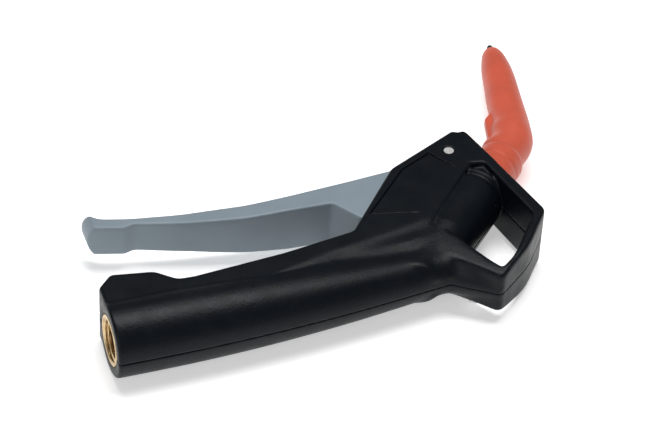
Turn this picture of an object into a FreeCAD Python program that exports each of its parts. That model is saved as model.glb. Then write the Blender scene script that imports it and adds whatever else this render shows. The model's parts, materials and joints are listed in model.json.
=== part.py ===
"""Hose-fed hand valve gun: two-shell handle, squeeze lever, angle valve and rubber-sleeved nozzle.

Frame: the gun lies on its right side.  +X runs from the inlet along the handle axis, +Y points to the
lever side, +Z is the gun's left side.  The origin is the centre of the inlet's mouth.  Millimetres.
"""
import FreeCAD, Part
import math
import os

V = FreeCAD.Vector
UP = V(0, 0, 1)

# ---- driving dimensions ------------------------------------------------------------------------
HALF_WIDTH = 12.8            # flat sides of ridge, cheeks and head, from the parting plane
WALL = 2.2                   # cheek wall beside the lever
RIM = 1.3                    # rounding of the flat sides' edges
HANDLE = [(0, 0, 14.4), (25, 0, 14.4), (50, 0.2, 13.9), (75, 0.7, 12.9), (100, 1.6, 11.5), (120, 2.6, 10.1),
          (134, 3.4, 9.3)]   # stations of the round handle: x, centre y, radius
BARREL_X = 120.9             # where the barrel's axis leaves the handle's axis
BARREL_TILT = 45.0           # barrel against handle, degrees
BARREL_R = 12.3
BEAD_R = 12.5                # rounded bead round the barrel's end, behind the front bar
NECK_R = 10.6                # barrel between the bead and the front bar
MOUTH_U = 65.4               # bottom of the sleeve's socket, along the barrel's axis
BARREL_END = 69.5            # barrel mouth, along the barrel's axis
PIVOT_U, PIVOT_V = 64.7, 15.8    # lever pivot in the barrel's frame: along, and above the axis
PIN_R = 2.0                  # steel pivot pin
LEVER_HALF = 10.2            # lever's half width at the head
LEVER_TIP_HALF = 6.9
HUB_R = 6.0                  # lever's hub round the pivot
RUN = 0.05                   # radial clearance of a running fit
SIT = 0.02                   # radial clearance of a fixed fit

INLET_R = 10.0               # brass insert, outside
THREAD_R = 8.33              # G 3/8 thread, major radius
THREAD_DEPTH = 12.0
INSERT_LENGTH = 24.0
TUBE_R, TUBE_BORE = 5.0, 3.8
TUBE_BEND = 16.0             # radius of the feed tube's bend
TUBE_START = 17.0

BODY_R = 9.0                 # valve body, along the barrel from BODY_FROM to BODY_TO
BODY_FROM, BODY_TO = 23.0, 63.0
ARM = 14.0                   # lever pivot to push pin, along the barrel
STEM_U = PIVOT_U - ARM       # push pin's axis
CAM_DROP = 2.4               # cam face below the pivot
STEM_R = 2.0
SEAT_V = 1.0                 # underside of the valve seat
CHAMBER_R = 4.6
POPPET_R = 3.9
SPRING_R, SPRING_WIRE = 2.9, 0.25     # mean radius, wire radius
SPRING_TURNS = 3

NOZZLE_TILT = 78.2           # straight part of the nozzle against the handle, degrees
ELBOW_U = 98.7               # elbow, along the barrel's axis
NOZZLE_LENGTH = 64.4         # elbow to the tip's end
NOZZLE_TUBE_R = 4.2
NOZZLE_BEND = 36.0
TIP_R = 1.35

SCREWS = [(13, 15.5), (97, 14.6), (144.5, -5.0)]
SCREW_R, SCREW_HEAD_R = 1.4, 2.6

# Outline corners: x, y, corner radius.
SIDE_PLATE = [(0.6, 2, 0), (0.6, 16.2, 1), (6.4, 22.2, 3), (23.0, 19.6, 6), (30.4, 13.2, 5), (37, 13.0, 6),
              (73.4, 16.4, 60), (102.8, 21.2, 5), (129.4, 52.8, 8), (161.2, 68.8, 1.6), (163.3, 67.4, 0.6),
              (166.2, 67.9, 1.6), (171.9, 45, 0), (161.2, 46.9, 0), (133.6, 18.6, 6), (90, 9.9, 40),
              (60, 3, 0), (20, 2, 0)]
HEAD_FRAME = [(160, 62, 0), (166.2, 67.9, 1.6), (179.0, 12.4, 4), (166.2, -4.2, 45),
              (149.8, -17.2, 2.5), (131.5, 4.5, 0),
              (150, 34, 0)]
WINDOW = [(160.6, 47.8, 1.2), (166.4, 46.8, 3), (173.4, 11.9, 2.5), (158.9, -6.6, 30), (151.6, -12.2, 1.5),
          (141.8, 7.0, 6), (133.8, 17.2, 2)]
PANEL = [(112.0, 28.6, 1), (133.4, 50.8, 4), (147.2, 57.8, 1), (154.4, 45.6, 1), (132.0, 23.6, 5)]
PANEL_DEPTH = 0.4
SKIRT = [(90, 9.6, 0), (108, 8.4, 0), (122, 9.2, 0), (137, 13.0, 0), (139, 24.0, 0), (131, 21.0, 0),
         (104, 14.0, 0)]
SKIRT_Z = 11.4
HORN_FROM, HORN_TO, HORN_R = (134.8, 4.0), (157.6, -11.2), 9.0
SLOT = [(104.2, 16.4, 2), (98.0, 40, 0), (120, 90, 0), (159.2, 90, 0), (159.2, 70, 0), (162.8, 60, 2),
        (161.2, 50.6, 0), (125.6, 17.5, 2)]
LEVER_SIDE = [(6.2, 67.2, 0), (6.4, 56.4, 0), (20.6, 52.7, 1.2), (24.6, 54.0, 3), (40.0, 49.4, 60),
              (54.8, 45.6, 60), (67.0, 42.9, 60), (84.0, 41.7, 60), (101.3, 41.3, 2.5), (109.6, 29.0, 3),
              (120.4, 31.0, 12)]
LEVER_TOP = [(152.4, 62.6, 6), (135.0, 54.8, 30), (110.0, 52.4, 80), (84.0, 50.3, 60), (68.5, 50.7, 60),
             (41.3, 54.6, 60), (22.0, 58.3, 30), (12.6, 60.8, 8)]
# Lever's half width along X, behind the rounded end of the tip.
LEVER_PLAN = [(28, LEVER_TIP_HALF), (45, 7.5), (60, 8.6), (84, LEVER_HALF), (175, LEVER_HALF)]
LEVER_TIP_X, LEVER_TIP_BULGE = 9.2, 2.5
# Sleeve's straight part from the elbow: (distance, shift to the fin's side, radius).
SLEEVE_RADII = [(9, 0.6, 7.95), (19, 0.4, 7.6), (33, 0.2, 7.2), (46, 0, 6.5), (52, 0, 5.7), (57, 0, 4.6),
                (60, 0, 3.3), (61.6, 0, 1.9)]
# Sleeve's bend: (along the barrel, across it, heading in degrees, radius).
SLEEVE_BEND = [(92.0, 0.4, 52, 8.6), (98.2, 1.7, 62, 8.8), (103.0, 4.1, 71, 8.4)]
# Sleeve radius along the barrel's axis, up to the bend: a groove and a step.
SLEEVE_ROOT = [(65.7, 9.4), (76.0, 9.4), (76.5, 9.1), (77.5, 9.1), (78.0, 9.4), (83.6, 9.4), (84.6, 8.4)]
SLEEVE_FIN = [(-8, 0), (-6, 10.0), (-2, 12.0), (1.3, 11.5), (12.8, 11.0), (17.8, 7.6), (18, 0)]


# ---- helpers -----------------------------------------------------------------------------------
def outline(corners, z):
    """Closed wire through (x, y, radius) corners at height z, each corner rounded by a tangent arc."""
    points = [V(x, y, z) for x, y, r in corners]
    edges, ends = [], []
    for i, (x, y, radius) in enumerate(corners):
        here, before, after = points[i], points[i - 1], points[(i + 1) % len(points)]
        to_before = (before - here).normalize()
        to_after = (after - here).normalize()
        half = to_before.getAngle(to_after) / 2
        back = radius / math.tan(half) if radius else 0
        a, b = here + to_before * back, here + to_after * back
        if radius:
            middle = (to_before + to_after).normalize()
            centre = here + middle * (radius / math.sin(half))
            edges.append((a, centre - middle * radius, b))
        ends.append((a, b))
    parts = []
    arcs = {edge[0].x: edge for edge in edges}
    for i, (a, b) in enumerate(ends):
        if a.x in arcs and corners[i][2]:
            parts.append(Part.Arc(*arcs[a.x]).toShape())
        following = ends[(i + 1) % len(ends)][0]
        if (following - b).Length > 1e-4:
            parts.append(Part.LineSegment(b, following).toShape())
    return Part.Wire(parts)


def prism(corners, z_low, z_high):
    """Solid between two heights with a rounded outline."""
    return Part.Face(outline(corners, z_low)).extrude(V(0, 0, z_high - z_low))


def rod(start, direction, radius, length):
    return Part.makeCylinder(radius, length, start, direction)


def turned(profile, start, direction):
    """Solid of revolution: profile is (along, radius) points, closed down to the axis."""
    points = [V(profile[0][0], 0, 0)] + [V(a, r, 0) for a, r in profile] + [V(profile[-1][0], 0, 0)]
    face = Part.Face(Part.makePolygon(points + [points[0]]))
    solid = face.revolve(V(0, 0, 0), V(1, 0, 0), 360)
    solid.Placement = FreeCAD.Placement(start, FreeCAD.Rotation(V(1, 0, 0), direction))
    return solid


def ring(start, direction, outer, inner, length):
    return rod(start, direction, outer, length).cut(rod(start, direction, inner, length))


def oring(centre, direction, radius, thickness):
    """Seal ring; radius is to the middle of its section."""
    return Part.makeTorus(radius, thickness / 2, centre, direction)


def pipe(edges, start, direction, radius):
    """Tube of a radius along joined edges."""
    section = Part.Wire(Part.makeCircle(radius, start, direction))
    return Part.Wire(edges).makePipeShell([section], True, False)


def lofted(stations):
    """Round solid through (centre, direction, radius) sections."""
    return Part.makeLoft([Part.Wire(Part.makeCircle(r, c, d)) for c, d, r in stations], True)


def heading(degrees):
    return V(math.cos(math.radians(degrees)), math.sin(math.radians(degrees)), 0)


ALONG = heading(BARREL_TILT)          # barrel's axis, towards the nozzle
ACROSS = heading(BARREL_TILT + 90)    # from the barrel's axis to the pivot
NOZZLE = heading(NOZZLE_TILT)
X_AXIS = V(1, 0, 0)


def barrel(u, v=0.0, z=0.0):
    """Point in the barrel's frame: u along its axis, v towards the pivot."""
    return V(BARREL_X, 0, z) + ALONG * u + ACROSS * v


PIVOT = barrel(PIVOT_U, PIVOT_V)
ELBOW = barrel(ELBOW_U)
CAM_V = PIVOT_V - CAM_DROP


def bend_path(start, corner, end, radius):
    """Straight, tangent arc, straight: edges from start round corner to end."""
    to_start = (start - corner).normalize()
    to_end = (end - corner).normalize()
    half = to_start.getAngle(to_end) / 2
    a = corner + to_start * (radius / math.tan(half))
    b = corner + to_end * (radius / math.tan(half))
    middle = (to_start + to_end).normalize()
    crown = corner + middle * (radius / math.sin(half) - radius)
    return [Part.LineSegment(start, a).toShape(), Part.Arc(a, crown, b).toShape(),
            Part.LineSegment(b, end).toShape()]


def soften(solid, radius, wanted):
    """Round the edges whose middle point is wanted."""
    edges = [e for e in solid.Edges if wanted(e.valueAt((e.FirstParameter + e.LastParameter) / 2))]
    return solid.makeFillet(radius, edges)


# ---- handle and head ---------------------------------------------------------------------------
def handle_round(inset, first=0, last=6):
    """The handle's round body, inset inwards from its skin."""
    chosen = HANDLE[first:last + 1]
    return lofted([(V(x, y, 0), X_AXIS, r - inset) for x, y, r in chosen])


def head_taper():
    """Block that narrows the head towards the horn."""
    half_low, half_high = HORN_R, HALF_WIDTH
    section = [(-40, half_low), (8, half_low), (15, 10.6), (23, 11.8), (34, 12.5), (48, half_high),
               (120, half_high)]
    corners = [barrel(u, -90, z) for u, z in section] + [barrel(u, -90, -z) for u, z in reversed(section)]
    return Part.Face(Part.makePolygon(corners + [corners[0]])).extrude(ACROSS * 180)


def housing_outside():
    """The whole outer shape of both shells."""
    body = soften(handle_round(0), 1.0, lambda p: p.x < 0.01)
    plate = prism(SIDE_PLATE, -HALF_WIDTH, HALF_WIDTH)
    plate = soften(plate, RIM, lambda p: abs(abs(p.z) - HALF_WIDTH) < 1e-6 and p.y > 4)
    frame = prism(HEAD_FRAME, -HALF_WIDTH, HALF_WIDTH).common(head_taper())
    horn_way = V(*HORN_TO, 0) - V(*HORN_FROM, 0)
    horn = rod(V(*HORN_FROM, 0), horn_way, HORN_R, horn_way.Length)
    horn = horn.fuse(Part.makeSphere(HORN_R, V(*HORN_FROM, 0)))
    behind = [(100, -40, 0), (100, 60, 0)] + [(196, 29.8, 0), (128, -37.8, 0)]
    horn = horn.common(prism(behind, -20, 20))
    frame = frame.fuse(horn).cut(prism(WINDOW, -20, 20))
    knee_at = V(*HANDLE[-2][:2], 0)
    knee = Part.makeSphere(HANDLE[-2][2] - 0.2, knee_at)
    tube = turned([(2, HANDLE[-2][2] - 0.4), (14, 10.8), (26, BARREL_R), (54.5, BARREL_R), (56.6, 11.3),
                   (57.6, 11.3), (58.2, 12.1), (58.9, BEAD_R), (59.9, BEAD_R), (60.6, 12.0), (61.2, NECK_R),
                   (67, NECK_R)], barrel(0), ALONG)
    before_bar = [(100, -40, 0), (100, 60, 0), (164.8, 60, 0), (174.4, 20, 0), (174.4, -40, 0)]
    tube = tube.common(prism(before_bar, 0.3 - HALF_WIDTH, HALF_WIDTH - 0.3))
    skirt = prism(SKIRT, -SKIRT_Z, SKIRT_Z)
    return body.fuse([knee, plate, frame, tube, skirt])


def housing_hollow():
    """Everything taken out of the housing: cavity, bores, slot and holes."""
    cavity = handle_round(2.6, 1, 5)
    for x in (44, 66, 88):
        cavity = cavity.cut(Part.makeBox(2, 40, 40, V(x, -20, -20)))
    for x, y in SCREWS:
        cavity = cavity.cut(rod(V(x, y, -20), UP, 3.6, 40))
    insert = turned([(-1, INLET_R + SIT), (4, INLET_R + SIT), (4, 11.2), (14, 11.2), (14, 8.7 + SIT),
                     (INSERT_LENGTH + 0.2, 8.7 + SIT)], V(0, 0, 0), X_AXIS)
    path = bend_path(V(INSERT_LENGTH, 0, 0), V(BARREL_X, 0, 0), barrel(BODY_FROM), TUBE_BEND)
    tube = pipe(path, V(INSERT_LENGTH, 0, 0), X_AXIS, TUBE_R + 0.3)
    body = turned([(BODY_FROM - 0.1, BODY_R + 0.1), (MOUTH_U, BODY_R + 0.1)], barrel(0), ALONG)
    mouth_r = SLEEVE_ROOT[0][1] + 0.3
    mouth = turned([(MOUTH_U, mouth_r), (BARREL_END + 12, mouth_r)], barrel(0), ALONG)
    slot = prism(SLOT, -HALF_WIDTH + WALL, HALF_WIDTH - WALL)
    pin = rod(PIVOT - UP * 20, UP, PIN_R + SIT, 40)
    stem_way = rod(barrel(STEM_U, -10.6), ACROSS, CHAMBER_R + 0.9, 24)
    holes = [insert, tube, body, mouth, slot, pin, stem_way]
    for x, y in SCREWS:
        holes.append(rod(V(x, y, -HALF_WIDTH - 1), UP, SCREW_R + 0.1, HALF_WIDTH + 9))
        holes.append(rod(V(x, y, -HALF_WIDTH - 1), UP, SCREW_HEAD_R + 0.2, 5.0))
    return cavity.fuse(holes)


def panels():
    """Shallow plain panel sunk into both cheeks."""
    panel = prism(PANEL, HALF_WIDTH - PANEL_DEPTH, HALF_WIDTH + 1)
    return panel.fuse(panel.mirror(V(0, 0, 0), UP))


def housing_shells():
    whole = housing_outside().cut(housing_hollow()).cut(panels())
    half = Part.makeBox(300, 300, 40, V(-20, -80, 0))
    left = whole.common(half)
    right = whole.common(half.translated(V(0, 0, -40)))
    return {"left_shell": left, "right_shell": right}


def housing_screws():
    screws = []
    for x, y in SCREWS:
        shank = rod(V(x, y, -HALF_WIDTH + 4.0), UP, SCREW_R, HALF_WIDTH + 3.5)
        head = turned([(0, 1.8), (0.5, SCREW_HEAD_R), (2.4, SCREW_HEAD_R)], V(x, y, -HALF_WIDTH + 1.6), UP)
        socket = prism([(x + 1.3 * math.cos(math.radians(60 * k)), y + 1.3 * math.sin(math.radians(60 * k)), 0)
                        for k in range(6)], -HALF_WIDTH + 1, -HALF_WIDTH + 3)
        screws.append(head.cut(socket).fuse(shank))
    return {"housing_screws": Part.makeCompound(screws)}


# ---- inlet and feed ----------------------------------------------------------------------------
def inlet():
    outside = turned([(0, INLET_R), (4, INLET_R), (4, 11.0), (THREAD_DEPTH, 11.0)], V(0, 0, 0), X_AXIS)
    insert = outside.cut(rod(V(-1, 0, 0), X_AXIS, THREAD_R, THREAD_DEPTH + 2))
    behind = turned([(THREAD_DEPTH, 11.0), (14, 11.0), (14, 8.7), (INSERT_LENGTH, 8.7)], V(0, 0, 0), X_AXIS)
    bore = turned([(THREAD_DEPTH - 1, 7.4), (14.4, 7.4), (14.4, TUBE_BORE), (TUBE_START, TUBE_BORE),
                   (TUBE_START, TUBE_R + SIT), (INSERT_LENGTH + 1, TUBE_R + SIT)], V(0, 0, 0), X_AXIS)
    seat = ring(V(20, 0, 0), X_AXIS, 6.6, TUBE_R - 0.1, 2.0)
    seal = oring(V(21, 0, 0), X_AXIS, 5.8, 1.5)
    frame = ring(V(13.35, 0, 0), X_AXIS, 7.35, 5.6, 1.0)
    mesh = rod(V(13.55, 0, 0), X_AXIS, 5.8, 0.6)
    pitch = 1.9
    for row in range(-2, 3):
        for column in range(-2, 3):
            if math.hypot(row, column) < 2.6:
                hole = rod(V(13, row * pitch, column * pitch), X_AXIS, 0.7, 1.2)
                mesh = mesh.cut(hole)
    return {"inlet_insert": insert, "inlet_socket": behind.cut(bore).cut(seat), "inlet_seal": seal, "filter_screen": frame.fuse(mesh),
            "inlet_washer": ring(V(THREAD_DEPTH + 0.05, 0, 0), X_AXIS, 7.35, 5.2, 1.3)}


def feed_tube():
    start, end = V(TUBE_START, 0, 0), barrel(BODY_FROM + 6)
    path = bend_path(start, V(BARREL_X, 0, 0), end, TUBE_BEND)
    tube = pipe(path, start, X_AXIS, TUBE_R).cut(pipe(path, start, X_AXIS, TUBE_BORE))
    return {"feed_tube": tube}


# ---- valve -------------------------------------------------------------------------------------
def valve_body():
    body = turned([(BODY_FROM, BODY_R - 0.6), (BODY_FROM + 0.6, BODY_R), (BODY_TO, BODY_R)], barrel(0), ALONG)
    socket = rod(barrel(BODY_FROM - 1), ALONG, TUBE_R + SIT, 7)
    groove = ring(barrel(BODY_FROM + 2), ALONG, 6.6, TUBE_R - 0.1, 2.0)
    inlet_way = rod(barrel(BODY_FROM + 5, -1.6), ALONG, 3.2, STEM_U - BODY_FROM - 5)
    chamber = rod(barrel(STEM_U, -BODY_R - 1), ACROSS, CHAMBER_R, BODY_R + 1 + SEAT_V + 1.2)
    outlet_chamber = rod(barrel(STEM_U, SEAT_V), ACROSS, 3.6, BODY_R)
    gland = rod(barrel(STEM_U, 5.4), ACROSS, CHAMBER_R, 8)
    outlet_way = rod(barrel(STEM_U + 3.0, 4.1), (barrel(BODY_TO, -0.6) - barrel(STEM_U + 3.0, 4.1)), 1.7, 9)
    outlet = rod(barrel(BODY_TO - 6), ALONG, 5.4, 8)
    for hole in (socket, groove, inlet_way, chamber, outlet_chamber, gland, outlet_way, outlet):
        body = body.cut(hole)
    return {"valve_body": body,
            "tube_oring": oring(barrel(BODY_FROM + 3), ALONG, 5.8, 1.5)}


def valve_parts():
    """Fixed pieces of the angle valve, all on the push pin's axis."""
    seat = ring(barrel(STEM_U, SEAT_V), ACROSS, CHAMBER_R - SIT, 2.9, 1.2)
    gland = ring(barrel(STEM_U, 5.4), ACROSS, CHAMBER_R - SIT, STEM_R + RUN, 3.0)
    groove = ring(barrel(STEM_U, 6.1), ACROSS, 3.4, STEM_R - 0.5, 1.5)
    stem_seal = ring(barrel(STEM_U, 6.15), ACROSS, 3.35, STEM_R + 0.1, 1.4)
    cap = rod(barrel(STEM_U, -7.0), ACROSS * -1, CHAMBER_R - SIT, 2.0)
    slit = Part.makeBox(12, 1.0, 0.8, V(-6, -0.5, 0))
    slit.Placement = FreeCAD.Placement(barrel(STEM_U, -9.2), FreeCAD.Rotation(UP, V(0, 0, 1), ACROSS, "XZY"))
    cap_groove = ring(barrel(STEM_U, -7.6), ACROSS * -1, CHAMBER_R, 3.6, 0.9)
    cap_seal = ring(barrel(STEM_U, -7.62), ACROSS * -1, CHAMBER_R - SIT, 3.65, 0.86)
    return {"valve_seat": seat, "gland_nut": gland.cut(groove), "stem_oring": stem_seal,
            "spring_cap": cap.cut(cap_groove).cut(slit), "cap_oring": cap_seal}


def stem_parts():
    """Pieces that slide with the push pin."""
    top = CAM_V - 0.1
    length = top - SEAT_V + 1.4
    pin = turned([(0, 1.2), (2.6, 1.2), (2.6, STEM_R), (length - STEM_R, STEM_R)],
                 barrel(STEM_U, SEAT_V - 1.4), ACROSS)
    pin = pin.fuse(Part.makeSphere(STEM_R, barrel(STEM_U, top - STEM_R))).removeSplitter()
    poppet = ring(barrel(STEM_U, SEAT_V - 2.4), ACROSS, POPPET_R, 1.2 + SIT, 1.4)
    seal = ring(barrel(STEM_U, SEAT_V - 1.0), ACROSS, POPPET_R, 1.2 + SIT, 0.95)
    nut = ring(barrel(STEM_U, SEAT_V - 2.4), ACROSS * -1, 1.9, 0.9, 0.9)
    return {"push_pin": pin, "poppet": poppet, "poppet_seal": seal, "poppet_nut": nut}


def valve_spring():
    """Closed coil spring between the poppet and the spring cap."""
    low, high = -7.0, SEAT_V - 2.4
    height = high - low - 2 * SPRING_WIRE - 0.1
    stations = 16 * SPRING_TURNS
    sections = []
    for step in range(stations + 1):
        about = math.radians(360 / 16 * step)
        corners = []
        for turn in (math.radians(22.5 + 45 * k) for k in range(9)):
            out = SPRING_R + SPRING_WIRE * math.cos(turn)
            corners.append(V(out * math.cos(about), out * math.sin(about),
                             height * step / stations + SPRING_WIRE * math.sin(turn)))
        sections.append(Part.makePolygon(corners))
    coil = Part.makeLoft(sections, True, True)
    coil.Placement = FreeCAD.Placement(barrel(STEM_U, low + SPRING_WIRE + 0.05),
                                       FreeCAD.Rotation(UP, ACROSS))
    return {"valve_spring": coil}


# ---- nozzle ------------------------------------------------------------------------------------
def nozzle():
    start = barrel(BODY_TO - 5)
    tip = ELBOW + NOZZLE * (NOZZLE_LENGTH - 4)
    path = bend_path(start, ELBOW, tip, NOZZLE_BEND)
    outside = pipe(path, start, ALONG, NOZZLE_TUBE_R)
    outside = outside.cut(ring(ELBOW + NOZZLE * 48, NOZZLE, 8, 3.4, 30))
    outside = outside.cut(ring(ELBOW + NOZZLE * 56, NOZZLE, 8, 2.4, 30))
    flange = rod(barrel(BODY_TO - 3), ALONG, 5.3, 3.5)
    tube = outside.fuse(flange).cut(pipe(path, start, ALONG, 2.2))
    tip_hole = rod(ELBOW + NOZZLE * (NOZZLE_LENGTH - 10), NOZZLE, TIP_R + SIT, 20)
    tube = tube.cut(tip_hole)
    tip_at = ELBOW + NOZZLE * (NOZZLE_LENGTH - 9.9)
    insert = turned([(0, TIP_R), (9.0, TIP_R), (9.6, 1.1), (9.9, 0.6)], tip_at, NOZZLE)
    insert = insert.cut(rod(tip_at - NOZZLE, NOZZLE, 0.45, 20))
    nut = turned([(0, 5.3), (0.01, 8.0), (7.4, 8.0), (8.0, 7.4)], barrel(BODY_TO + 0.5), ALONG)
    nut = nut.cut(rod(barrel(BODY_TO), ALONG, NOZZLE_TUBE_R + SIT, 20))
    seal = oring(barrel(BODY_TO - 4.2), ALONG, NOZZLE_TUBE_R + 0.55, 1.0)
    tube = tube.cut(seal)
    return {"nozzle_tube": tube, "nozzle_tip": insert, "nozzle_nut": nut, "nozzle_oring": seal}


def nozzle_sleeve():
    root = turned(SLEEVE_ROOT, barrel(0), ALONG)
    fin_side = heading(NOZZLE_TILT + 90)
    sections = [(barrel(SLEEVE_ROOT[-1][0]), ALONG, SLEEVE_ROOT[-1][1])]
    sections += [(barrel(u, v), heading(tilt), r) for u, v, tilt, r in SLEEVE_BEND]
    sections += [(ELBOW + NOZZLE * t + fin_side * w, NOZZLE, r) for t, w, r in SLEEVE_RADII]
    fin = [ELBOW + NOZZLE * t + fin_side * w for t, w in SLEEVE_FIN]
    fin = Part.Face(Part.makePolygon([p - UP * 2 for p in fin + [fin[0]]])).extrude(UP * 4)
    skin = root.fuse([lofted(sections), fin])
    path = bend_path(barrel(BODY_TO), ELBOW, ELBOW + NOZZLE * (NOZZLE_LENGTH - 4), NOZZLE_BEND)
    bore = pipe(path, barrel(BODY_TO), ALONG, NOZZLE_TUBE_R + SIT)
    bore = bore.cut(ring(ELBOW + NOZZLE * 48, NOZZLE, 8, 3.4 + SIT, 30))
    bore = bore.cut(ring(ELBOW + NOZZLE * 56, NOZZLE, 8, 2.4 + SIT, 30))
    nut_room = turned([(BODY_TO, 8.0 + SIT), (BODY_TO + 8.5, 8.0 + SIT)], barrel(0), ALONG)
    hole = rod(ELBOW + NOZZLE * 55, NOZZLE, TIP_R + SIT, 20)
    hub_room = rod(PIVOT - UP * 20, UP, HUB_R + 0.6, 40)
    return {"nozzle_sleeve": skin.cut(bore).cut(nut_room).cut(hole).cut(hub_room)}


# ---- lever -------------------------------------------------------------------------------------
def lever():
    cam = [(p.x, p.y, r) for p, r in ((barrel(STEM_U - 8, CAM_V + 2.4), 2), (barrel(STEM_U - 4.5, CAM_V), 1),
                                      (barrel(STEM_U + 6, CAM_V), 0))]
    corners = LEVER_SIDE[:-1] + cam + [(PIVOT.x, PIVOT.y - 0.5, 0)] + LEVER_TOP
    side = prism(corners, -LEVER_HALF, LEVER_HALF)
    hub = rod(PIVOT - UP * LEVER_HALF, UP, HUB_R, 2 * LEVER_HALF)
    near = [V(LEVER_TIP_X, -20, LEVER_TIP_HALF)] + [V(x, -20, z) for x, z in LEVER_PLAN]
    sides = near + [V(p.x, p.y, -p.z) for p in reversed(near)]
    tip = Part.Arc(sides[-1], V(LEVER_TIP_X - LEVER_TIP_BULGE, -20, 0), sides[0]).toShape()
    plan = Part.Face(Part.Wire(Part.makePolygon(sides).Edges + [tip])).extrude(V(0, 160, 0))
    solid = side.fuse(hub).removeSplitter().common(plan)
    bush_hole = rod(PIVOT - UP * 20, UP, 3.4, 40)
    bush = ring(PIVOT - UP * (LEVER_HALF - 0.1), UP, 3.4 - SIT, PIN_R + RUN, 2 * LEVER_HALF - 0.2)
    return {"lever": solid.cut(bush_hole), "lever_bush": bush,
            "pivot_pin": rod(PIVOT - UP * (HALF_WIDTH - 0.3), UP, PIN_R, 2 * HALF_WIDTH - 0.6)}


def build():
    os.makedirs("parts", exist_ok=True)
    makers = (housing_shells, housing_screws, inlet, feed_tube, valve_body, valve_parts, stem_parts,
              valve_spring, nozzle, nozzle_sleeve, lever)
    for make in makers:
        for name, shape in make().items():
            box = shape.BoundBox
            print(f"{name:15s} valid {shape.isValid()} solids {len(shape.Solids)} volume {shape.Volume:9.1f} "
                  f"x {box.XMin:.1f} {box.XMax:.1f} y {box.YMin:.1f} {box.YMax:.1f} z {box.ZMin:.1f} {box.ZMax:.1f}")
            shape.exportStep(f"parts/{name}.step")


build()
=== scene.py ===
import json
import math

import bmesh
import bpy
import numpy as np
import openvdb
from mathutils import Matrix, Vector


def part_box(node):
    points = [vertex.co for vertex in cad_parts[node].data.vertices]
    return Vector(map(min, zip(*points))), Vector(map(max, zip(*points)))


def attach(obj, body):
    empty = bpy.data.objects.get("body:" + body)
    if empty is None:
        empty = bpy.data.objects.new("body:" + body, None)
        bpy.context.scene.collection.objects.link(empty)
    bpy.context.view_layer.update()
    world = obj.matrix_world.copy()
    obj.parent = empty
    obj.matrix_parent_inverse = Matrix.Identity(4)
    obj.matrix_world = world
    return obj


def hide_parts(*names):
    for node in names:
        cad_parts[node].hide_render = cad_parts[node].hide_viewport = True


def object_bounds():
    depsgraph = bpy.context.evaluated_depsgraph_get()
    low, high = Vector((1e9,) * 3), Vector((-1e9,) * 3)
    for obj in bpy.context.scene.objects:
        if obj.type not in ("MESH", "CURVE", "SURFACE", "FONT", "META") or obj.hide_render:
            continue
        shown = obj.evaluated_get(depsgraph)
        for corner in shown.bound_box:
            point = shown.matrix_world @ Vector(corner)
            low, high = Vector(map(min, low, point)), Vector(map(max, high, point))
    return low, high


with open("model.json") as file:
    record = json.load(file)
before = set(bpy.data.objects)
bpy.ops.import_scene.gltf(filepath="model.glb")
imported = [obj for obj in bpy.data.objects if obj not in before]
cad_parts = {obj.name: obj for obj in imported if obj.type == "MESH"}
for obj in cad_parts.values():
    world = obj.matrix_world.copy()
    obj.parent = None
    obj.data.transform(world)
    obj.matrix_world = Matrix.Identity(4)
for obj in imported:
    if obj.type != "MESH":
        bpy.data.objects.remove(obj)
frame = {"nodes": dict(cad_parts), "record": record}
cad_low, cad_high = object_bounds()

nodes = frame["nodes"]
MM = 0.001
# Millimetres, as are all sizes below that have no other unit.
LATTICE = 0.36           # spacing of the points that the moulded skins are rebuilt on
SKIN_BLUR = 0.8          # width of the blur that softens a skin's edges
LEVER_BLUR = 0.5
FILL_R = 5.0             # smallest radius of a filled hollow edge
FILL_BLUR = 1.5
KEPT_FACES = 0.6         # share of a skin's faces that is kept


# ---------------------------------------------------------------- materials

def new_material(name):
    mat = bpy.data.materials.new(name)
    mat.use_nodes = True
    tree = mat.node_tree
    shader = tree.nodes["Principled BSDF"]
    coords = tree.nodes.new("ShaderNodeTexCoord").outputs["Object"]
    return mat, tree, shader, coords


def noise(tree, coords, scale, detail=3.0, roughness=0.55, distortion=0.0):
    n = tree.nodes.new("ShaderNodeTexNoise")
    n.inputs["Scale"].default_value = scale
    n.inputs["Detail"].default_value = detail
    n.inputs["Roughness"].default_value = roughness
    n.inputs["Distortion"].default_value = distortion
    tree.links.new(coords, n.inputs["Vector"])
    return n.outputs["Fac"]


def stretched(tree, coords, scale):
    m = tree.nodes.new("ShaderNodeMapping")
    m.inputs["Scale"].default_value = scale
    tree.links.new(coords, m.inputs["Vector"])
    return m.outputs["Vector"]


def ramp(tree, fac, stops):
    r = tree.nodes.new("ShaderNodeValToRGB")
    r.color_ramp.elements[0].position, r.color_ramp.elements[0].color = stops[0][0], (*stops[0][1], 1)
    r.color_ramp.elements[1].position, r.color_ramp.elements[1].color = stops[-1][0], (*stops[-1][1], 1)
    for pos, col in stops[1:-1]:
        e = r.color_ramp.elements.new(pos)
        e.color = (*col, 1)
    tree.links.new(fac, r.inputs["Fac"])
    return r.outputs["Color"]


def span(tree, fac, low, high):
    """The middle of a noise's range, 0.3 to 0.7, spread from low to high."""
    m = tree.nodes.new("ShaderNodeMapRange")
    m.inputs["From Min"].default_value = 0.3
    m.inputs["From Max"].default_value = 0.7
    m.inputs["To Min"].default_value = low
    m.inputs["To Max"].default_value = high
    tree.links.new(fac, m.inputs["Value"])
    return m.outputs["Result"]


def bump(tree, shader, layers):
    """Stacks bump layers (height output, distance in metres, strength) on the shader's normal."""
    previous = None
    for height, distance, strength in layers:
        b = tree.nodes.new("ShaderNodeBump")
        b.inputs["Distance"].default_value = distance
        b.inputs["Strength"].default_value = strength
        tree.links.new(height, b.inputs["Height"])
        if previous is not None:
            tree.links.new(previous, b.inputs["Normal"])
        previous = b.outputs["Normal"]
    tree.links.new(previous, shader.inputs["Normal"])


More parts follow.
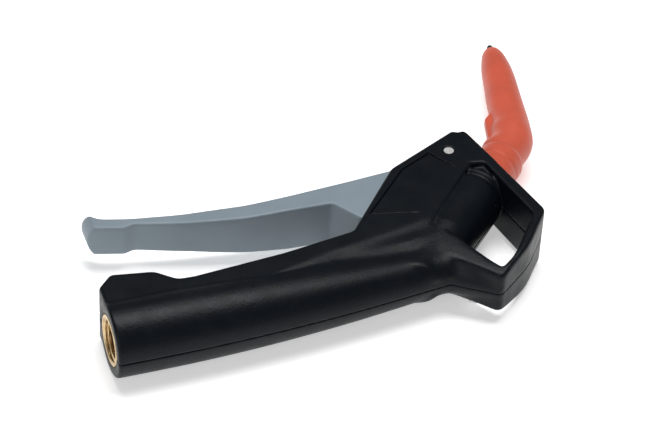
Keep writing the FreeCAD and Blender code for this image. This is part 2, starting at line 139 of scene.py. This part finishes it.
def shade(colour, factor):
    return tuple(c * factor for c in colour)


def moulded_plastic(name, colour, rough, grain, grain_depth, spread, specular):
    """Moulded plastic: fine eroded grain, slow shade variation and slightly uneven gloss."""
    mat, tree, shader, coords = new_material(name)
    slow = noise(tree, coords, 55, 2.0)
    tree.links.new(
        ramp(tree, slow, [(0.3, shade(colour, 1 - spread)), (0.7, shade(colour, 1 + spread))]),
        shader.inputs["Base Color"],
    )
    patches = noise(tree, coords, 140, 4.0)
    tree.links.new(span(tree, patches, rough - 0.05, rough + 0.06), shader.inputs["Roughness"])
    shader.inputs["Specular IOR Level"].default_value = specular
    fine = noise(tree, coords, grain, 2.0, 0.6)
    pebble = noise(tree, coords, grain * 0.45, 1.0, 0.5)
    wavy = noise(tree, coords, 90, 1.0)
    bump(tree, shader, [(wavy, 0.0006, 0.05), (pebble, grain_depth, 0.6), (fine, grain_depth, 0.6)])
    return mat


def rubber(name, colour, rough, sheen=0.15):
    """Moulded rubber: matt skin with a faint sheen, slow shade variation and fine grain."""
    mat, tree, shader, coords = new_material(name)
    slow = noise(tree, coords, 70, 3.0)
    tree.links.new(
        ramp(tree, slow, [(0.25, shade(colour, 0.9)), (0.75, shade(colour, 1.08))]),
        shader.inputs["Base Color"],
    )
    patches = noise(tree, coords, 260, 3.0)
    tree.links.new(span(tree, patches, rough - 0.05, rough + 0.07), shader.inputs["Roughness"])
    shader.inputs["Specular IOR Level"].default_value = 0.4
    shader.inputs["Sheen Weight"].default_value = sheen
    shader.inputs["Sheen Roughness"].default_value = 0.5
    fine = noise(tree, coords, 2600, 2.0, 0.6)
    bump(tree, shader, [(slow, 0.0005, 0.05), (fine, 0.00003, 0.5)])
    return mat


def turned_metal(name, colour, rough, tarnish, axis_scale, tarnish_amount=0.5):
    """Turned metal: tool marks across the axis and patches of dull oxide."""
    mat, tree, shader, coords = new_material(name)
    shader.inputs["Metallic"].default_value = 1.0
    patches = noise(tree, coords, 180, 5.0, 0.65, 0.6)
    tree.links.new(
        ramp(tree, patches, [(0.35, colour), (0.5, shade(colour, 0.94)), (0.35 + tarnish_amount, tarnish)]),
        shader.inputs["Base Color"],
    )
    marks = noise(tree, stretched(tree, coords, axis_scale), 400, 3.0)
    tree.links.new(span(tree, patches, rough, rough + 0.16), shader.inputs["Roughness"])
    bump(tree, shader, [(marks, 0.00004, 0.4), (patches, 0.00005, 0.25)])
    return mat


SHELL = moulded_plastic("shell_black", (0.0022, 0.0040, 0.0066), 0.38, 2400, 0.00011, 0.12, 0.16)
LEVER = moulded_plastic("lever_grey", (0.215, 0.265, 0.305), 0.46, 2600, 0.00004, 0.05, 0.42)
SLEEVE = rubber("sleeve_orange", (0.60, 0.092, 0.045), 0.50)
BRASS = turned_metal("brass_turned", (0.66, 0.49, 0.27), 0.24, (0.36, 0.23, 0.10), (6, 1, 1))
STEEL = turned_metal("steel_ground", (0.86, 0.86, 0.85), 0.42, (0.42, 0.41, 0.40), (1, 1, 6), 0.4)
SEAL = rubber("seal_black", (0.012, 0.012, 0.012), 0.55, 0.05)
TUBE = moulded_plastic("tube_black", (0.012, 0.012, 0.013), 0.35, 2000, 0.00003, 0.1, 0.45)
WHITE = moulded_plastic("acetal_white", (0.72, 0.71, 0.67), 0.40, 1800, 0.00003, 0.04, 0.45)
FINISH = {
    "shell": SHELL, "lever": LEVER, "sleeve": SLEEVE, "brass": BRASS,
    "steel": STEEL, "seal": SEAL, "tube": TUBE, "white": WHITE,
}

slot_of = {s["node"]: s["material_slot"] for s in frame["record"]["subparts"]}
body_of = {n: b for b, names in frame["record"]["behaviour"]["bodies"].items() for n in names}
for node_name, obj in nodes.items():
    obj.data.materials.clear()
    obj.data.materials.append(FINISH[slot_of[node_name]])


# ------------------------------------------------------------------- pieces

def place(name, mesh, node):
    """Adds a piece with the finish of a CAD node."""
    piece = bpy.data.objects.new(name, mesh)
    bpy.context.scene.collection.objects.link(piece)
    mesh.materials.clear()
    mesh.materials.append(FINISH[slot_of[node]])
    mesh.shade_smooth()
    return piece


def stand_for(piece, node):
    """The piece takes the place of a CAD node: it joins the node's body, and the node is hidden."""
    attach(piece, body_of[node])
    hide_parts(node)


def baked(obj):
    """The object's mesh with its modifiers applied."""
    graph = bpy.context.evaluated_depsgraph_get()
    graph.update()
    return bpy.data.meshes.new_from_object(obj.evaluated_get(graph))


def mesh_points(node):
    """A CAD node's corners in millimetres and its triangles."""
    mesh = nodes[node].data
    mesh.calc_loop_triangles()
    points = np.empty(len(mesh.vertices) * 3, np.float32)
    mesh.vertices.foreach_get("co", points)
    triangles = np.empty(len(mesh.loop_triangles) * 3, np.int32)
    mesh.loop_triangles.foreach_get("vertices", triangles)
    return points.reshape(-1, 3) / MM, triangles.reshape(-1, 3).astype(np.uint32)


class Field:
    """Signed distances in millimetres, negative inside, on an even lattice round a box."""

    def __init__(self, low, high, step):
        self.step = step
        self.first = np.floor(np.array(low) / step).astype(int)
        self.count = np.ceil(np.array(high) / step).astype(int) - self.first
        axes = [(self.first[k] + np.arange(self.count[k])) * step for k in range(3)]
        spread = np.meshgrid(*axes, indexing="ij", sparse=True)
        self.x, self.y, self.z = (a.astype(np.float32) for a in spread)

    def distances(self, points, triangles, quads=None, reach=4.0):
        band = reach / self.step + 2
        grid = openvdb.FloatGrid.createLevelSetFromPolygons(
            points, triangles=triangles, quads=quads,
            transform=openvdb.createLinearTransform(self.step), halfWidth=band)
        values = np.zeros(tuple(self.count), np.float32)
        grid.copyToArray(values, ijk=tuple(int(i) for i in self.first))
        return values

    def surface(self, values, level=0.0):
        grid = openvdb.FloatGrid(float(values.max()))
        grid.copyFromArray(np.ascontiguousarray(values), ijk=tuple(int(i) for i in self.first))
        grid.transform = openvdb.createLinearTransform(self.step)
        return grid.convertToPolygons(isovalue=level)

    def closed(self, values, radius):
        """The shape with every hollow edge filled to at least this radius."""
        points, triangles, quads = self.surface(values, radius)
        return self.distances(points, triangles, quads, radius + 2.0) + radius


def blurred(values, width, step):
    """Mean over a cube about this wide, taken twice, which is close to a round blur."""
    reach = max(1, int(round(width / step / 2)))
    for axis in (0, 1, 2):
        for _ in range(2):
            total = values.copy()
            for shift in range(1, reach + 1):
                ahead = [slice(None)] * 3
                behind = [slice(None)] * 3
                ahead[axis] = slice(shift, None)
                behind[axis] = slice(None, -shift)
                moved = values.copy()
                moved[tuple(behind)] = values[tuple(ahead)]
                total += moved
                moved = values.copy()
                moved[tuple(ahead)] = values[tuple(behind)]
                total += moved
            values = total / (2 * reach + 1)
    return values


def step_up(values, start, end):
    """Rises smoothly from 0 at start to 1 at end."""
    t = np.clip((values - start) / (end - start), 0, 1)
    return t * t * (3 - 2 * t)


def mesh_from(points, triangles, quads, name):
    """A mesh of these corners and faces, with its faces turned outwards."""
    def corner(column):
        return points[np.concatenate([triangles[:, column], quads[:, column]])]
    lean = np.einsum("ij,ij->i", corner(0), np.cross(corner(1), corner(2))).sum()
    if lean < 0:
        triangles, quads = triangles[:, ::-1], quads[:, ::-1]
    mesh = bpy.data.meshes.new(name)
    loops = np.concatenate([triangles.ravel(), quads.ravel()]).astype(np.int32)
    quads_from = len(triangles) * 3
    starts = np.concatenate([np.arange(len(triangles)) * 3, quads_from + np.arange(len(quads)) * 4])
    mesh.vertices.add(len(points))
    mesh.vertices.foreach_set("co", (points * MM).astype(np.float32).ravel())
    mesh.loops.add(len(loops))
    mesh.loops.foreach_set("vertex_index", loops)
    mesh.polygons.add(len(starts))
    mesh.polygons.foreach_set("loop_start", starts.astype(np.int32))
    mesh.update(calc_edges=True)
    mesh.validate()
    return mesh


def eased(mesh, rounds, sharp_at=None):
    """The mesh with its lattice steps smoothed away, and thinned.

    Nothing is smoothed up to the height sharp_at in metres, which keeps the parting line thin."""
    work = bpy.data.objects.new("work", mesh)
    bpy.context.scene.collection.objects.link(work)
    ease = work.modifiers.new("ease", "SMOOTH")
    ease.factor = 0.5
    ease.iterations = rounds
    if sharp_at is not None:
        free = work.vertex_groups.new(name="free")
        free.add([v.index for v in mesh.vertices if v.co.z > sharp_at], 1.0, "REPLACE")
        ease.vertex_group = "free"
    thin = work.modifiers.new("thin", "DECIMATE")
    thin.ratio = KEPT_FACES
    result = baked(work)
    bpy.data.objects.remove(work)
    return result


BARREL_X = 120.9         # where the barrel's line leaves the handle's axis, at 45 degrees
BARREL_ROOM_R = 10.2
BARREL_ROOM_END = 63.0
# Middle of the handle's wall: stations along it, radius there, and how far its centre has risen.
HANDLE_X = [0, 50, 75, 100, 120, 134]
HANDLE_ROOM_R = [13.1, 12.6, 11.6, 10.2, 8.8, 8.0]
HANDLE_RISE = [0, 0.2, 0.7, 1.6, 2.6, 3.4]
# The cheeks' lower edge runs beside the barrel between these stations along it.
CHEEK_FROM_TO = [15.7, 64.3]
CHEEK_ROOM_Z = 11.7      # middle of a cheek's wall, from the parting plane
CHEEK_ROOM_LOW, CHEEK_ROOM_HIGH = 14.2, 40.0
CHEEK_ROOM_END, CHEEK_ROOM_X = 63.5, 103.0


def barrel_frame(field):
    """Distances along the barrel's axis and across it, towards the pivot."""
    half = math.sqrt(0.5)
    along = ((field.x - BARREL_X) + field.y) * half
    across = (field.y - (field.x - BARREL_X)) * half
    return along, across


def inner_bores(field, along, across):
    """Room inside the handle and the barrel, up to the middle of their walls."""
    barrel = np.sqrt(across ** 2 + field.z ** 2) - BARREL_ROOM_R
    barrel = np.maximum(barrel, np.maximum(-along, along - BARREL_ROOM_END))
    radius = np.interp(field.x, HANDLE_X, HANDLE_ROOM_R)
    centre = np.interp(field.x, HANDLE_X, HANDLE_RISE)
    handle = np.sqrt((field.y - centre) ** 2 + field.z ** 2) - radius
    return np.minimum(barrel, np.maximum(handle, field.x - HANDLE_X[-1]))


def beyond_crease(field, along, across):
    """How far a point lies on the lever's side of the crease that borders ridge and cheeks."""
    ridge = field.y - np.interp(field.x, [60, 90, 133.6], [3.0, 9.9, 18.6])
    cheek = across - np.interp(along, CHEEK_FROM_TO, [7.8, 6.1])
    return np.minimum(ridge, cheek)


def cheek_room(field, along, across):
    """Room between the cheeks, beside the lever, up to the middle of the cheeks' walls."""
    edge = across - np.interp(along, CHEEK_FROM_TO, [7.4, 5.7])
    edge = np.minimum(field.y - CHEEK_ROOM_LOW, edge)
    room = np.maximum(field.z - CHEEK_ROOM_Z, -edge)
    ends = np.maximum(across - CHEEK_ROOM_HIGH, CHEEK_ROOM_X - field.x)
    return np.maximum(room, np.maximum(along - CHEEK_ROOM_END, ends))


def beyond_side(start, end, x, y):
    """How far a point lies to the right of the line from start to end."""
    (ax, ay), (bx, by) = start, end
    return ((x - ax) * (by - ay) - (y - ay) * (bx - ax)) / math.hypot(bx - ax, by - ay)


# Window corners in the row frame, counter-clockwise. The fourth is the outline's only inward corner.
WINDOW = [
    (166.4, 46.8), (160.6, 47.8), (133.8, 17.2), (141.8, 7.0), (151.6, -12.2), (158.9, -6.6), (173.4, 11.9),
]
INWARD = 3


def outside_window(field):
    """How far a point lies outside the window's outline, seen along Z."""
    sides = [beyond_side(a, b, field.x, field.y) for a, b in zip(WINDOW, WINDOW[1:] + WINDOW[:1])]
    out = np.minimum(sides.pop(INWARD - 1), sides.pop(INWARD - 1))
    for side in sides:
        out = np.maximum(out, side)
    return out


# Corners of the box round the head and the handle's upper end, where hollow edges are filled.
HEAD_LOW, HEAD_HIGH = [50, -32, -11], [192, 78, 23]


def softened(points, triangles):
    """The housing's outer shape on a coarse lattice, its hollow edges filled and blurred wide."""
    coarse = Field(HEAD_LOW, HEAD_HIGH, 2 * LATTICE)
    along, across = barrel_frame(coarse)
    shape = coarse.distances(points, triangles, reach=FILL_R + 2.0)
    room = np.minimum(inner_bores(coarse, along, across), cheek_room(coarse, along, across))
    return coarse, blurred(coarse.closed(np.minimum(shape, room), FILL_R), FILL_BLUR, coarse.step)


def resampled(values, source, target):
    """Values of one lattice read on another, linearly, with the end values beyond its ends."""
    for axis in range(3):
        place_at = (target.first[axis] + np.arange(target.count[axis])) * target.step / source.step
        place_at = np.clip(place_at - source.first[axis], 0, source.count[axis] - 1.001)
        lower = place_at.astype(int)
        share = (place_at - lower).astype(np.float32)
        share = share.reshape([-1 if k == axis else 1 for k in range(3)])
        values = np.take(values, lower, axis) * (1 - share) + np.take(values, lower + 1, axis) * share
    return values


SCREWS = [(13.0, 15.5), (97.0, 14.6), (144.5, -5.0)]
SCREW_HOLE_R = 3.0
SCREW_SEAT_Z = 8.6       # bottom of the screw holes, from the parting plane
PARTING_GAP = 0.02       # from each half to the parting plane
SKIRT_DEPTH = 1.2        # how deep the filled creases are solid


def housing_halves():
    """One housing half as a moulded skin, soft edges and filled creases: without, then with screw holes."""
    points, triangles = mesh_points("left_shell")
    other = points * np.array([1, 1, -1], np.float32)
    points = np.concatenate([points, other])
    triangles = np.concatenate([triangles, triangles[:, ::-1] + np.uint32(len(other))]).astype(np.uint32)
    field = Field([points[:, 0].min() - 2, points[:, 1].min() - 2, -3.06], points.max(axis=0) + 2, LATTICE)
    shape = field.distances(points, triangles)
    along, across = barrel_frame(field)
    room = np.minimum(inner_bores(field, along, across), cheek_room(field, along, across))
    coarse, soft = softened(points, triangles)
    soft = resampled(soft, coarse, field)
    target = np.maximum(soft, np.minimum(np.minimum(-room, shape), -SKIRT_DEPTH - soft))
    # Where the filled shape takes over: away from the parting plane, the barrel's far end, the
    # handle's lower end, the cheeks' and ridge's flats, and the window.
    crease = step_up(field.z, 2.0, 4.0) * (1 - step_up(along, 40, 52)) * step_up(field.x, 60, 90)
    crease = crease * (1 - step_up(beyond_crease(field, along, across), 3.0, 7.0))
    crease = crease * np.maximum(step_up(outside_window(field), -0.8, 1.2), 1 - step_up(along, 5, 10))
    shape = shape + crease * (target - shape)
    shape = blurred(shape, SKIN_BLUR, LATTICE)
    shape = np.maximum(shape, PARTING_GAP - field.z)
    holed = shape
    for x, y in SCREWS:
        hole = SCREW_HOLE_R - np.sqrt((field.x - x) ** 2 + (field.y - y) ** 2)
        holed = np.maximum(holed, np.minimum(hole, field.z - SCREW_SEAT_Z))
    return [mesh_from(*field.surface(solid), "housing_half") for solid in (shape, holed)]


# Panel sunk into both cheeks, row frame, clockwise from its low left corner.
PANEL = [(112.0, 28.6), (133.4, 50.8), (147.2, 57.8), (154.4, 45.6), (132.0, 23.6)]
FLAT_Z = 12.8            # cheeks' flat sides, from the parting plane
PANEL_DEPTH = 0.5
PANEL_RUNOUT = 14.0      # distance from the low right side over which the panel sinks
GROOVE_DEPTH = 0.3
GROOVE_WIDTH = 0.22


def inside_outline(corners, x, y):
    """How far a point lies inside a clockwise outline."""
    return min(beyond_side(a, b, x, y) for a, b in zip(corners, corners[1:] + corners[:1]))


def sink_panel(mesh):
    """Cuts the shallow panel into the cheek, deepest at its upper left, with a groove round it."""
    def on_cheek(at):
        return at.z > FLAT_Z - 0.7 and 100 < at.x < 160

    work = bmesh.new()
    work.from_mesh(mesh)
    for _ in range(2):
        near = []
        for edge in work.edges:
            at = (edge.verts[0].co + edge.verts[1].co) / (2 * MM)
            if on_cheek(at) and abs(inside_outline(PANEL, at.x, at.y)) < 0.9:
                near.append(edge)
        bmesh.ops.subdivide_edges(work, edges=near, cuts=1, use_grid_fill=True)
    for vert in work.verts:
        at = vert.co / MM
        if not on_cheek(at):
            continue
        inside = inside_outline(PANEL, at.x, at.y)
        if inside < -1.5:
            continue
        low_right = beyond_side(PANEL[4], PANEL[3], at.x, at.y)
        slope = min(1.0, max(0.0, -low_right) / PANEL_RUNOUT)
        edge = min(1.0, max(0.0, (inside + 0.15) / 0.3))
        sunk = PANEL_DEPTH * slope * edge * edge * (3 - 2 * edge)
        groove = GROOVE_DEPTH * math.exp(-((inside - 0.1) / GROOVE_WIDTH) ** 2) * min(1.0, 3 * slope)
        vert.co.z = (FLAT_Z - sunk - groove) * MM
    work.to_mesh(mesh)
    work.free()
    return mesh


def mirrored(mesh):
    """The same mesh on the other side of the parting plane."""
    copy = mesh.copy()
    copy.transform(Matrix.Scale(-1, 4, (0, 0, 1)))
    copy.flip_normals()
    return copy


def moulded(node, blur, rounds):
    """A soft-edged skin of a CAD solid, rebuilt on an even lattice."""
    points, triangles = mesh_points(node)
    field = Field(points.min(axis=0) - 2, points.max(axis=0) + 2, LATTICE)
    shape = blurred(field.distances(points, triangles), blur, LATTICE)
    return eased(mesh_from(*field.surface(shape), node + "_skin"), rounds)


THREAD_R = 8.33          # major radius
THREAD_PITCH = 1.337
THREAD_DEEP = 0.80
THREAD_END = 12.0
THREAD_SIDES = 96        # corners round each ring
# Insert's outside from its inner end to its chamfered mouth: (distance from the mouth, radius).
INSERT_OUTSIDE = [
    (THREAD_END, 10.8), (11.8, 11.0), (4.0, 11.0), (4.0, 10.0), (0.35, 10.0), (0.1, 9.9), (0.0, 9.7),
    (0.0, 8.95), (0.12, 8.75),
]


def thread_radius(x, turned):
    """Radius of the threaded bore at this depth, this share of a turn round from +Y."""
    phase = (x / THREAD_PITCH - turned) % 1.0
    crest = min(1.0, max(0.0, 1.35 * (1 - abs(2 * phase - 1)) - 0.1))
    lead_in = min(1.0, max(0.0, (x - 0.1) / 1.1))
    run_out = min(1.0, max(0.0, (THREAD_END - 0.4 - x) / 1.0))
    return THREAD_R + 0.45 * (1 - lead_in) - THREAD_DEEP * crest * lead_in * run_out


def threaded_insert():
    """The brass inlet: turned outside, chamfered mouth, and real helical turns in its bore."""
    shares = [k / THREAD_SIDES for k in range(THREAD_SIDES)]
    steps = int(THREAD_END / THREAD_PITCH * 12)
    depths = [INSERT_OUTSIDE[-1][0] + (THREAD_END - 0.3) * k / steps for k in range(steps + 1)]
    rings = [(x, [r] * THREAD_SIDES) for x, r in INSERT_OUTSIDE]
    rings += [(x, [thread_radius(x, share) for share in shares]) for x in depths]
    rings += [(THREAD_END, [THREAD_R] * THREAD_SIDES)]
    work = bmesh.new()
    rows = []
    for x, radii in rings:
        angles = [2 * math.pi * share for share in shares]
        rows.append([work.verts.new((x * MM, radius * math.cos(angle) * MM, radius * math.sin(angle) * MM))
                     for radius, angle in zip(radii, angles)])
    for near, far in zip(rows, rows[1:] + rows[:1]):
        for k in range(THREAD_SIDES):
            n = (k + 1) % THREAD_SIDES
            work.faces.new((near[k], near[n], far[n], far[k]))
    bmesh.ops.recalc_face_normals(work, faces=work.faces)
    mesh = bpy.data.meshes.new("threaded_insert")
    work.to_mesh(mesh)
    work.free()
    return mesh


def crisp(piece, degrees):
    """Smooth shading that keeps edges sharper than this angle."""
    mesh = piece.data
    mesh.shade_smooth()
    mesh.set_sharp_from_angle(angle=math.radians(degrees))


insert_piece = place("threaded_inlet", threaded_insert(), "inlet_insert")
crisp(insert_piece, 35)
stand_for(insert_piece, "inlet_insert")

left_half, right_half = [sink_panel(eased(half, 3, 0.3 * MM)) for half in housing_halves()]
for piece_name, piece_mesh, node_name in (
    ("left_shell_moulding", left_half, "left_shell"),
    ("right_shell_moulding", mirrored(right_half), "right_shell"),
    ("lever_moulding", moulded("lever", LEVER_BLUR, 2), "lever"),
    ("nozzle_grip", moulded("nozzle_sleeve", SKIN_BLUR, 3), "nozzle_sleeve"),
):
    stand_for(place(piece_name, piece_mesh, node_name), node_name)


# ------------------------------------------------------- floor, light, camera

centre = (cad_low + cad_high) / 2


def area_light(name, offset, size, power):
    """A soft light at this offset from the object's centre, aimed at it. Metres and watts."""
    data = bpy.data.lights.new(name, "AREA")
    data.shape = "RECTANGLE"
    data.size, data.size_y = size
    data.energy = power
    lamp = bpy.data.objects.new(name, data)
    lamp.location = centre + Vector(offset)
    lamp.rotation_euler = (-Vector(offset)).to_track_quat("-Z", "Y").to_euler()
    bpy.context.scene.collection.objects.link(lamp)


floor_z = min(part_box(n)[0].z for n in nodes) - 0.0002
floor_mesh = bpy.data.meshes.new("floor")
far = 6.0
floor_mesh.from_pydata(
    [(-far, -far, floor_z), (far, -far, floor_z), (far, far, floor_z), (-far, far, floor_z)],
    [], [(0, 1, 2, 3)],
)
floor = bpy.data.objects.new("floor", floor_mesh)
bpy.context.scene.collection.objects.link(floor)
floor_mat, floor_tree, floor_shader, floor_coords = new_material("floor_white")
floor_shader.inputs["Roughness"].default_value = 0.9
floor_shader.inputs["Specular IOR Level"].default_value = 0.1
floor_shader.inputs["Emission Color"].default_value = (1, 1, 1, 1)
floor_shader.inputs["Emission Strength"].default_value = 0.45
floor_shades = [(0.3, (0.93, 0.93, 0.93)), (0.7, (0.95, 0.95, 0.95))]
floor_tree.links.new(
    ramp(floor_tree, noise(floor_tree, floor_coords, 3), floor_shades),
    floor_shader.inputs["Base Color"],
)
floor_mesh.materials.append(floor_mat)

world = bpy.data.worlds.new("studio")
world.use_nodes = True
world.node_tree.nodes["Background"].inputs["Color"].default_value = (1.0, 1.0, 1.0, 1)
world.node_tree.nodes["Background"].inputs["Strength"].default_value = 0.14
bpy.context.scene.world = world

area_light("overhead", (0.06, 0.08, 0.9), (0.7, 0.34), 7.6)
area_light("front_right", (0.75, -0.8, 0.3), (0.5, 0.5), 0.35)
area_light("front_left", (-0.7, -0.7, 0.5), (0.5, 0.5), 2.2)

scene = bpy.context.scene
scene.view_settings.view_transform = "Standard"

LENS = 147.6             # focal length of a 36 mm wide sensor
CAMERA_AT = Vector((-184.4, -702.4, 674.8)) * MM
CAMERA_RIGHT = Vector((0.946, -0.321, 0.043)).normalized()
CAMERA_INTO = Vector((0.272, 0.715, -0.645)).normalized()
CAMERA_INTO = (CAMERA_INTO - CAMERA_RIGHT * CAMERA_INTO.dot(CAMERA_RIGHT)).normalized()
CAMERA_UP = CAMERA_RIGHT.cross(CAMERA_INTO)
lens = bpy.data.cameras.new("camera")
lens.sensor_width = 36.0
lens.lens = LENS
lens.clip_start = 0.01
camera = bpy.data.objects.new("camera", lens)
turn = Matrix((CAMERA_RIGHT, CAMERA_UP, -CAMERA_INTO)).transposed().to_4x4()
camera.matrix_world = Matrix.Translation(CAMERA_AT) @ turn
scene.collection.objects.link(camera)
scene.camera = camera
